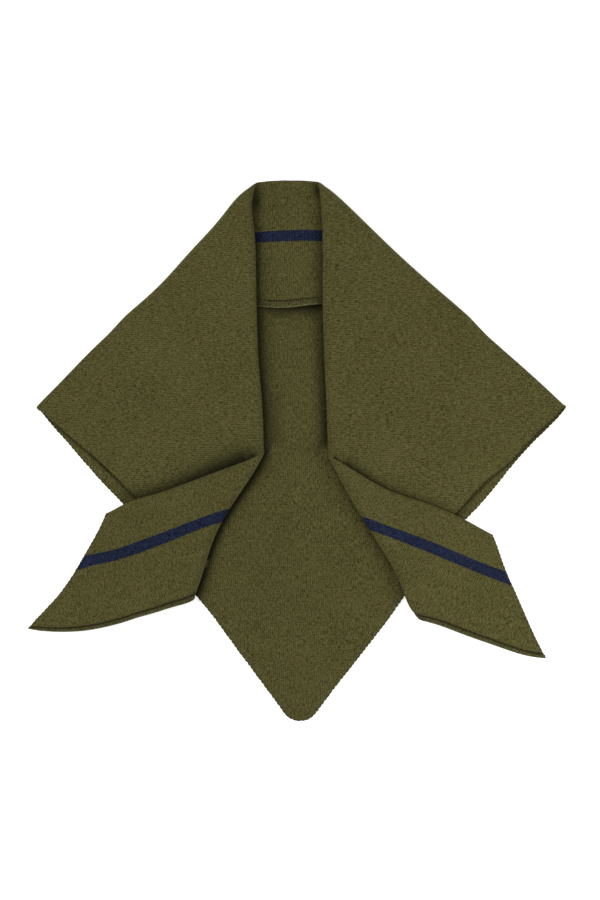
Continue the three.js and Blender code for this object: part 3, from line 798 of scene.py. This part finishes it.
def knit_finish(name, yarn, brushed=1.0):
    """Plain knit in brushed wool: ribs of stitches under a mottled, hairy nap."""
    material = bpy.data.materials.new(name)
    material.use_nodes = True
    nodes = Nodes(material.node_tree)
    shader = material.node_tree.nodes["Principled BSDF"]
    place = nodes.add("ShaderNodeTexCoord").outputs["Object"]
    knit = nodes.add("ShaderNodeUVMap", uv_map="knit").outputs["UV"]
    along, row = nodes.add("ShaderNodeSeparateXYZ", {0: knit}).outputs[:2]

    # Wales wander a little, as brushing has shifted the stitches, and the nap hides some
    wander = nodes.math("MULTIPLY", noise(nodes, place, WANDER_PATCH), WANDER)
    across = nodes.math("DIVIDE", nodes.math("ADD", along, wander), WALE)
    rib = nodes.math("MULTIPLY_ADD", nodes.math("PINGPONG", across, 0.5), 2, -0.5)
    clear = nodes.math("MULTIPLY_ADD", noise(nodes, place, WORN_PATCH), 2.6, 0.55, clamp=True)
    rib = nodes.math("MULTIPLY", rib, clear)
    leg = nodes.math("MULTIPLY_ADD", rib, 0.5, nodes.math("DIVIDE", row, COURSE))
    stitch = nodes.math("SINE", nodes.math("MULTIPLY", leg, 2 * math.pi))
    stretched = nodes.add("ShaderNodeVectorMath", {0: knit, 1: STREAK_STRETCH}, operation="MULTIPLY")
    streak = noise(nodes, stretched.outputs[0], STREAK, 1)
    hairs = noise(nodes, place, HAIR)
    fine = noise(nodes, place, FINE_HAIR, 1)

    relief = total(nodes, (0.45, rib), (0.1, stitch), (1.2 * brushed, hairs), (0.6, streak))
    shade = total(nodes, (0.6, rib), (0.12, stitch), (1.9, hairs), (1.5, streak), (1.9, fine),
                  *[(amount, noise(nodes, place, patch)) for amount, patch in CLOUDS])
    shade = nodes.math("ADD", shade, MIDDLE_SHADE, clamp=True)
    colour = nodes.add("ShaderNodeMix", {0: shade, 6: yarn.dark, 7: yarn.light}, data_type="RGBA")
    flecks = nodes.math("MULTIPLY_ADD", noise(nodes, place, FLECK, 1), 2.4, 0.1, clamp=True)
    colour = nodes.add("ShaderNodeMix", {0: flecks, 6: colour.outputs[2], 7: yarn.fleck},
                       data_type="RGBA")

    # How dark the painted shade is falls off like a bell with the widths from a fold or edge
    widths = nodes.add("ShaderNodeAttribute", attribute_name="crease").outputs["Fac"]
    crease = nodes.math("MULTIPLY", nodes.math("MULTIPLY", widths, widths), -1)
    crease = nodes.math("EXPONENT", crease)
    colour = nodes.add("ShaderNodeMix", {0: crease, 6: colour.outputs[2], 7: yarn.deep},
                       data_type="RGBA")
    bump = nodes.add("ShaderNodeBump", {"Strength": 0.6, "Distance": RELIEF_HEIGHT, "Height": relief})
    links = material.node_tree.links
    links.new(colour.outputs[2], shader.inputs["Base Color"])
    links.new(bump.outputs[0], shader.inputs["Normal"])
    shader.inputs["Roughness"].default_value = 0.95
    shader.inputs["Specular IOR Level"].default_value = 0.12
    shader.inputs["Sheen Weight"].default_value = 0.08
    shader.inputs["Sheen Roughness"].default_value = 0.6
    shader.inputs["Sheen Tint"].default_value = (*[min(1, 8 * c) for c in yarn.light[:3]], 1)
    return material


# The four knitted stretches
BAND_ROWS = 24
STRIPE_ROWS = 8
STRIP_ROWS = 22
FOLD_ROWS = 9
HEM_PROFILE = (  # distance from the edge in millimetres, share of the cloth's thickness
    (0, 0.5), (0.3, 1.0), (0.7, 1.2), (1.2, 1.2), (2, 1.12), (3, 1.1), (4, 1.1), (5, 1.1),
    (5.8, 1.0), (6.4, 0.74), (HEM_WIDTH, 0.62),
)
BAND_RISE = ((0, 0.62), (0.5, 0.78), (1.2, 0.95), (2, 1))


def long_edge_hem():
    rows_at = [at for at, _ in HEM_PROFILE]
    fullness = [full for _, full in HEM_PROFILE]
    return cloth_shell("long_edge_hem", [band_row(at) for at in rows_at], fullness, rows_at,
                       knit_finish("brushed_olive_hem", OLIVE_HEM, brushed=0.7))


def edge_band():
    rise = [HEM_WIDTH + at for at, _ in BAND_RISE]
    rows_at = rise + list(np.linspace(rise[-1], STRIPE_FROM_EDGE, BAND_ROWS)[1:])
    fullness = [full for _, full in BAND_RISE] + [1] * (BAND_ROWS - 1)
    return cloth_shell("edge_band", [band_row(at) for at in rows_at], fullness, rows_at, olive)


def navy_stripe():
    rows_at = np.linspace(STRIPE_FROM_EDGE, STRIPE_END, STRIPE_ROWS)
    return cloth_shell("navy_stripe", [band_row(at) for at in rows_at], [1] * STRIPE_ROWS, rows_at,
                       knit_finish("brushed_navy_knit", NAVY, brushed=0.8))


def knitted_panel():
    fold_start = TURN_IN - FOLD_LENGTH
    rows_at = np.concatenate([np.linspace(STRIPE_END, fold_start, STRIP_ROWS)[:-1],
                              np.linspace(fold_start, TURN_IN, FOLD_ROWS)])
    rows = [band_row(at) for at in rows_at]
    below, fullness = body_rows()
    wide = rows[0][0].size
    places = [np.full(wide, at) for at in rows_at] + [inward for _, inward in below]
    return cloth_shell("knitted_panel", rows + below, [1] * len(rows) + fullness, places, olive)


olive = knit_finish("brushed_olive_knit", OLIVE)
hem, band, stripe, panel = long_edge_hem(), edge_band(), navy_stripe(), knitted_panel()


# What repeats along the cloth's edges and over its face is grown by Geometry Nodes, and each
# growth is kept as a plain mesh
TILT_SEED = 3
SIZE_SEED = 8
ROOT_SEED = 11
SPIN_SEED = 5
LENGTH_SEED = 9
HAIR_MIDDLE = (0.15, 0, 0.45)  # of a hair of length 1 that stands on its root
HAIR_TIP = (0.85, 0.2, 0.4)
HAIR_LENGTHS = (0.6, 1.3)
FACING_UP = 0.1  # the least upward part of a normal that bears hairs


def growing_tree(name, numbers, material):
    """A tree with geometry in and out, a material and the named numbers as inputs."""
    tree = bpy.data.node_groups.new(name, "GeometryNodeTree")
    tree.interface.new_socket("Geometry", in_out="OUTPUT", socket_type="NodeSocketGeometry")
    tree.interface.new_socket("Geometry", in_out="INPUT", socket_type="NodeSocketGeometry")
    for label in numbers:
        kind = "NodeSocketVector" if label.endswith("scale") else "NodeSocketFloat"
        tree.interface.new_socket(label, in_out="INPUT", socket_type=kind)
    tree.interface.new_socket(material, in_out="INPUT", socket_type="NodeSocketMaterial")
    nodes = Nodes(tree)
    return tree, nodes, nodes.add("NodeGroupInput").outputs


def finish_tree(nodes, instances, material):
    whole = nodes.add("GeometryNodeRealizeInstances", {0: instances})
    smooth_shaded = nodes.add("GeometryNodeSetShadeSmooth", {0: whole.outputs[0]})
    coated = nodes.add("GeometryNodeSetMaterial", {0: smooth_shaded.outputs[0], 2: material})
    nodes.add("NodeGroupOutput", {0: coated.outputs[0]})


def random_number(nodes, low, high, seed, scale=1):
    """A random number for each point, times a scale."""
    made = nodes.add("FunctionNodeRandomValue", {2: low, 3: high, 8: seed}, data_type="FLOAT")
    return nodes.math("MULTIPLY", made.outputs[1], scale)


def turned_on(nodes, rotation, angle):
    """A rotation that is turned on by an angle about its own Z."""
    turn = nodes.add("ShaderNodeCombineXYZ", {2: angle})
    turn = nodes.add("FunctionNodeEulerToRotation", {0: turn.outputs[0]})
    made = nodes.add("FunctionNodeRotateRotation", {0: rotation, 1: turn.outputs[0]},
                     rotation_space="LOCAL")
    return made.outputs[0]


def stitch_tree():
    """Plump stitches along a path, turned with it and with the cloth's own up."""
    tree, nodes, given = growing_tree("stitch_run", ("Pitch", "Stitch scale", "Spread"), "Yarn")
    path = nodes.add("GeometryNodeMeshToCurve", {0: given["Geometry"]})
    path = nodes.add("GeometryNodeResampleCurve", {0: path.outputs[0], "Length": given["Pitch"]},
                     mode="LENGTH")
    up = nodes.add("GeometryNodeInputNamedAttribute", {"Name": "up"}, data_type="FLOAT_VECTOR")
    tangent = nodes.add("GeometryNodeInputTangent")
    turned = nodes.add("FunctionNodeAxesToRotation", {0: up.outputs[0], 1: tangent.outputs[0]},
                       primary_axis="Z", secondary_axis="X")
    tilt = random_number(nodes, -1, 1, TILT_SEED, given["Spread"])
    size = nodes.math("ADD", random_number(nodes, -1, 1, SIZE_SEED, given["Spread"]), 1)
    size = nodes.add("ShaderNodeVectorMath", {0: given["Stitch scale"], "Scale": size},
                     operation="SCALE")
    width = nodes.add("GeometryNodeInputNamedAttribute", {"Name": "width"}, data_type="FLOAT")
    width = nodes.add("ShaderNodeCombineXYZ", {0: 1.0, 1: width.outputs[0], 2: 1.0})
    size = nodes.add("ShaderNodeVectorMath", {0: size.outputs[0], 1: width.outputs[0]},
                     operation="MULTIPLY")
    stitch = nodes.add("GeometryNodeMeshUVSphere", {"Segments": 8, "Rings": 5, "Radius": 0.5})
    run = nodes.add("GeometryNodeInstanceOnPoints", {
        "Points": path.outputs[0], "Instance": stitch.outputs[0],
        "Rotation": turned_on(nodes, turned.outputs[0], tilt), "Scale": size.outputs[0]})
    finish_tree(nodes, run.outputs[0], given["Yarn"])
    return tree


def fibre_tree():
    """Short bent hairs that stand on the cloth where nothing covers it."""
    tree, nodes, given = growing_tree("loose_fibres", ("Number per area", "Length", "Radius"), "Yarn")
    bare = nodes.add("GeometryNodeInputNamedAttribute", {"Name": "bare"}, data_type="FLOAT")
    facing = nodes.add("GeometryNodeInputNormal")
    facing = nodes.add("ShaderNodeSeparateXYZ", {0: facing.outputs[0]}).outputs[2]
    bare = nodes.math("MULTIPLY", bare.outputs[0], nodes.math("GREATER_THAN", facing, FACING_UP))
    roots = nodes.add("GeometryNodeDistributePointsOnFaces", {
        "Mesh": given["Geometry"], "Seed": ROOT_SEED,
        "Density": nodes.math("MULTIPLY", bare, given["Number per area"])})
    hair = nodes.add("GeometryNodeCurveQuadraticBezier", {
        "Resolution": 4, "Start": (0, 0, 0), "Middle": HAIR_MIDDLE, "End": HAIR_TIP})
    round_hair = nodes.add("GeometryNodeCurvePrimitiveCircle", {
        "Resolution": 3, "Radius": nodes.math("DIVIDE", given["Radius"], given["Length"])})
    tube = nodes.add("GeometryNodeCurveToMesh", {0: hair.outputs[0], 1: round_hair.outputs[0]})
    spin = random_number(nodes, 0, 2 * math.pi, SPIN_SEED)
    hairs = nodes.add("GeometryNodeInstanceOnPoints", {
        "Points": roots.outputs[0], "Instance": tube.outputs[0],
        "Rotation": turned_on(nodes, roots.outputs["Rotation"], spin),
        "Scale": random_number(nodes, *HAIR_LENGTHS, LENGTH_SEED, given["Length"])})
    finish_tree(nodes, hairs.outputs[0], given["Yarn"])
    return tree


def grown(name, source, tree, **values):
    """The plain mesh that a tree makes of an object, with its named inputs set."""
    modifier = source.modifiers.new(name, "NODES")
    modifier.node_group = tree
    for item in tree.interface.items_tree:
        if item.in_out == "INPUT" and item.name.replace(" ", "_") in values:
            modifier[item.identifier] = values[item.name.replace(" ", "_")]
    bpy.context.view_layer.update()
    evaluated = source.evaluated_get(bpy.context.evaluated_depsgraph_get())
    mesh = bpy.data.meshes.new_from_object(evaluated)
    source.modifiers.remove(modifier)
    mesh.name = name
    piece = bpy.data.objects.new(name, mesh)
    bpy.context.scene.collection.objects.link(piece)
    return piece


def stitch_run(name, along, inward, yarn, stitch, width=1):
    """A run of stitches along a path of the flat cloth, as the cloth lies. width is each
    point's share of the stitches' width across the path."""
    middle = placed(along, inward, MID_LAYER)
    up = placed(along, inward, CLOTH_THICKNESS) - middle
    mesh = bpy.data.meshes.new(name + "_path")
    last = middle.shape[1] - 1
    mesh.from_pydata(middle.T.tolist(), [(i, i + 1) for i in range(last)], [])
    attribute = mesh.attributes.new("up", "FLOAT_VECTOR", "POINT")
    attribute.data.foreach_set("vector", up.T.astype(np.float32).ravel())
    # The stitches get the same painted shade as the cloth beneath them
    set_numbers(mesh, "crease", painted_shade_widths(along, inward)[0])
    set_numbers(mesh, "width", np.full(along.shape, width))
    path = bpy.data.objects.new(name + "_path", mesh)
    bpy.context.scene.collection.objects.link(path)
    made = grown(name, path, STITCHES, Pitch=stitch.pitch * MM, Spread=stitch.spread, Yarn=yarn,
                 Stitch_scale=[v * MM for v in stitch.size])
    bpy.data.objects.remove(path)
    return made


STITCHES, FIBRES = stitch_tree(), fibre_tree()
Stitch = namedtuple("Stitch", "pitch size spread")  # millimetres, spread is a share
RIB = Stitch(2.3, (1.5, 4.6, 2.75), 0.1)
RIB_ROW = 4.0  # from the hem's edge, in millimetres
EDGE = Stitch(2.3, (2.9, 1.9, 3.0), 0.15)
EDGE_ROW = 0.9
LOOP = Stitch(4.6, (5.2, 2.0, 2.1), 0.12)
LOOP_ROWS = 60  # down each side of the band
LOOPS_IN = 0.8  # from the cloth's side edge
FIBRES_PER_AREA = 14000
FIBRE_LENGTH = 1.5 * MM
FIBRE_RADIUS = 0.06 * MM


def side_run(rows, column):
    """Where the rows of the band end, one of its two sides."""
    along, inward = (np.array([row[i][column] for row in rows]) for i in (0, 1))
    return along - np.sign(along) * LOOPS_IN, inward


def side_loops():
    """The selvedge chain: the sides of the band, then the long sides of the cloth below it."""
    rows_at = np.linspace(HEM_WIDTH, TURN_IN, LOOP_ROWS)
    sides = [side_run([band_row(at) for at in rows_at], column) for column in (0, -1)]
    below, _ = body_rows()
    along, inward = below[-1]
    runs = [np.concatenate([sides[0][i], (along, inward)[i], sides[1][i][::-1]]) for i in (0, 1)]
    return stitch_run("side_loops", *runs, olive, LOOP)


def hem_run(name, row_at, yarn, stitch):
    along, inward = band_row(row_at)
    return stitch_run(name, along, inward, yarn, stitch, hem_share(along))


hem_ribs = hem_run("hem_ribs", RIB_ROW, hem.data.materials[0], RIB)
# The hem's edge bead is painted lighter, a painted highlight
hem_edge = hem_run("hem_edge", EDGE_ROW, knit_finish("olive_edge_yarn", OLIVE_EDGE_HIGHLIGHT), EDGE)
loops = side_loops()
fibres = [grown(name, piece, FIBRES, Number_per_area=FIBRES_PER_AREA, Length=FIBRE_LENGTH,
                Radius=FIBRE_RADIUS, Yarn=piece.data.materials[0])
          for name, piece in (("panel_fibres", panel), ("band_fibres", band),
                              ("stripe_fibres", stripe))]
panel_fibres, band_fibres, stripe_fibres = fibres


# Camera, light and floor
PIXEL = 1.02 * MM  # on the cloth
IMAGE_HEIGHT = 900
IMAGE_MIDDLE = (300, 450)
NECK_PIXEL = (291, 181)  # of the middle of the collar fold in the photograph
CAMERA_LENS = 100
SENSOR = 36
CLOTH_HEIGHT = 6 * MM
SKY_STRENGTH = 0.6
KEY_LIGHT = ("key_light", (-1.45, 0.35, 1.8), 1.3, 23)  # name, place, size and watts
FILL_LIGHT = ("fill_light", (0.75, -0.33, 0.42), 0.4, 3)
FLOOR_REACH = 8
FLOOR_HEIGHT = -0.2 * MM
FLOOR_GREY = (0.86, 0.86, 0.86, 1)
FLOOR_GLOW = 0.55


def photo_camera():
    data = bpy.data.cameras.new("camera")
    data.lens = CAMERA_LENS
    data.sensor_width = SENSOR
    away = CAMERA_LENS / SENSOR * IMAGE_HEIGHT * PIXEL
    camera = bpy.data.objects.new("camera", data)
    x, y = OFFSET[0] * MM, OFFSET[1] * MM
    camera.location = (x + (IMAGE_MIDDLE[0] - NECK_PIXEL[0]) * PIXEL,
                       y - (IMAGE_MIDDLE[1] - NECK_PIXEL[1]) * PIXEL, CLOTH_HEIGHT + away)
    bpy.context.scene.collection.objects.link(camera)
    bpy.context.scene.camera = camera


def softbox(name, place, size, watts):
    data = bpy.data.lights.new(name, "AREA")
    data.shape = "DISK"
    data.size = size
    data.energy = watts
    lamp = bpy.data.objects.new(name, data)
    lamp.location = place
    lamp.rotation_euler = Vector(place).to_track_quat("Z", "Y").to_euler()
    bpy.context.scene.collection.objects.link(lamp)


def pale_floor():
    corners = np.array([(x * FLOOR_REACH, y * FLOOR_REACH, FLOOR_HEIGHT)
                        for x, y in ((-1, -1), (1, -1), (1, 1), (-1, 1))])
    floor = mesh_object("floor", corners, [[0, 1, 2, 3]])
    material = bpy.data.materials.new("white_floor")
    material.use_nodes = True
    shader = material.node_tree.nodes["Principled BSDF"]
    shader.inputs["Base Color"].default_value = FLOOR_GREY
    shader.inputs["Roughness"].default_value = 0.9
    shader.inputs["Emission Color"].default_value = (1, 1, 1, 1)
    shader.inputs["Emission Strength"].default_value = FLOOR_GLOW
    floor.data.materials.append(material)


def soft_light():
    world = bpy.data.worlds.new("studio")
    bpy.context.scene.world = world
    world.use_nodes = True
    sky = world.node_tree.nodes["Background"].inputs
    sky["Color"].default_value = (1, 1, 1, 1)
    sky["Strength"].default_value = SKY_STRENGTH
    softbox(*KEY_LIGHT)
    softbox(*FILL_LIGHT)
    bpy.context.scene.view_settings.view_transform = "Standard"


photo_camera()
soft_light()
pale_floor()

for piece, slot in ((panel, "olive_knit"), (band, "olive_knit"), (stripe, "navy_knit"),
                    (hem, "hem_knit")):
    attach(piece, "root")
    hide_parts(piece.name.split(".")[0])
for piece, slot in ((hem_ribs, "hem_knit"), (hem_edge, "hem_knit"), (loops, "olive_knit"),
                    (panel_fibres, "olive_knit"), (band_fibres, "olive_knit"),
                    (stripe_fibres, "navy_knit")):
    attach(piece, "root")
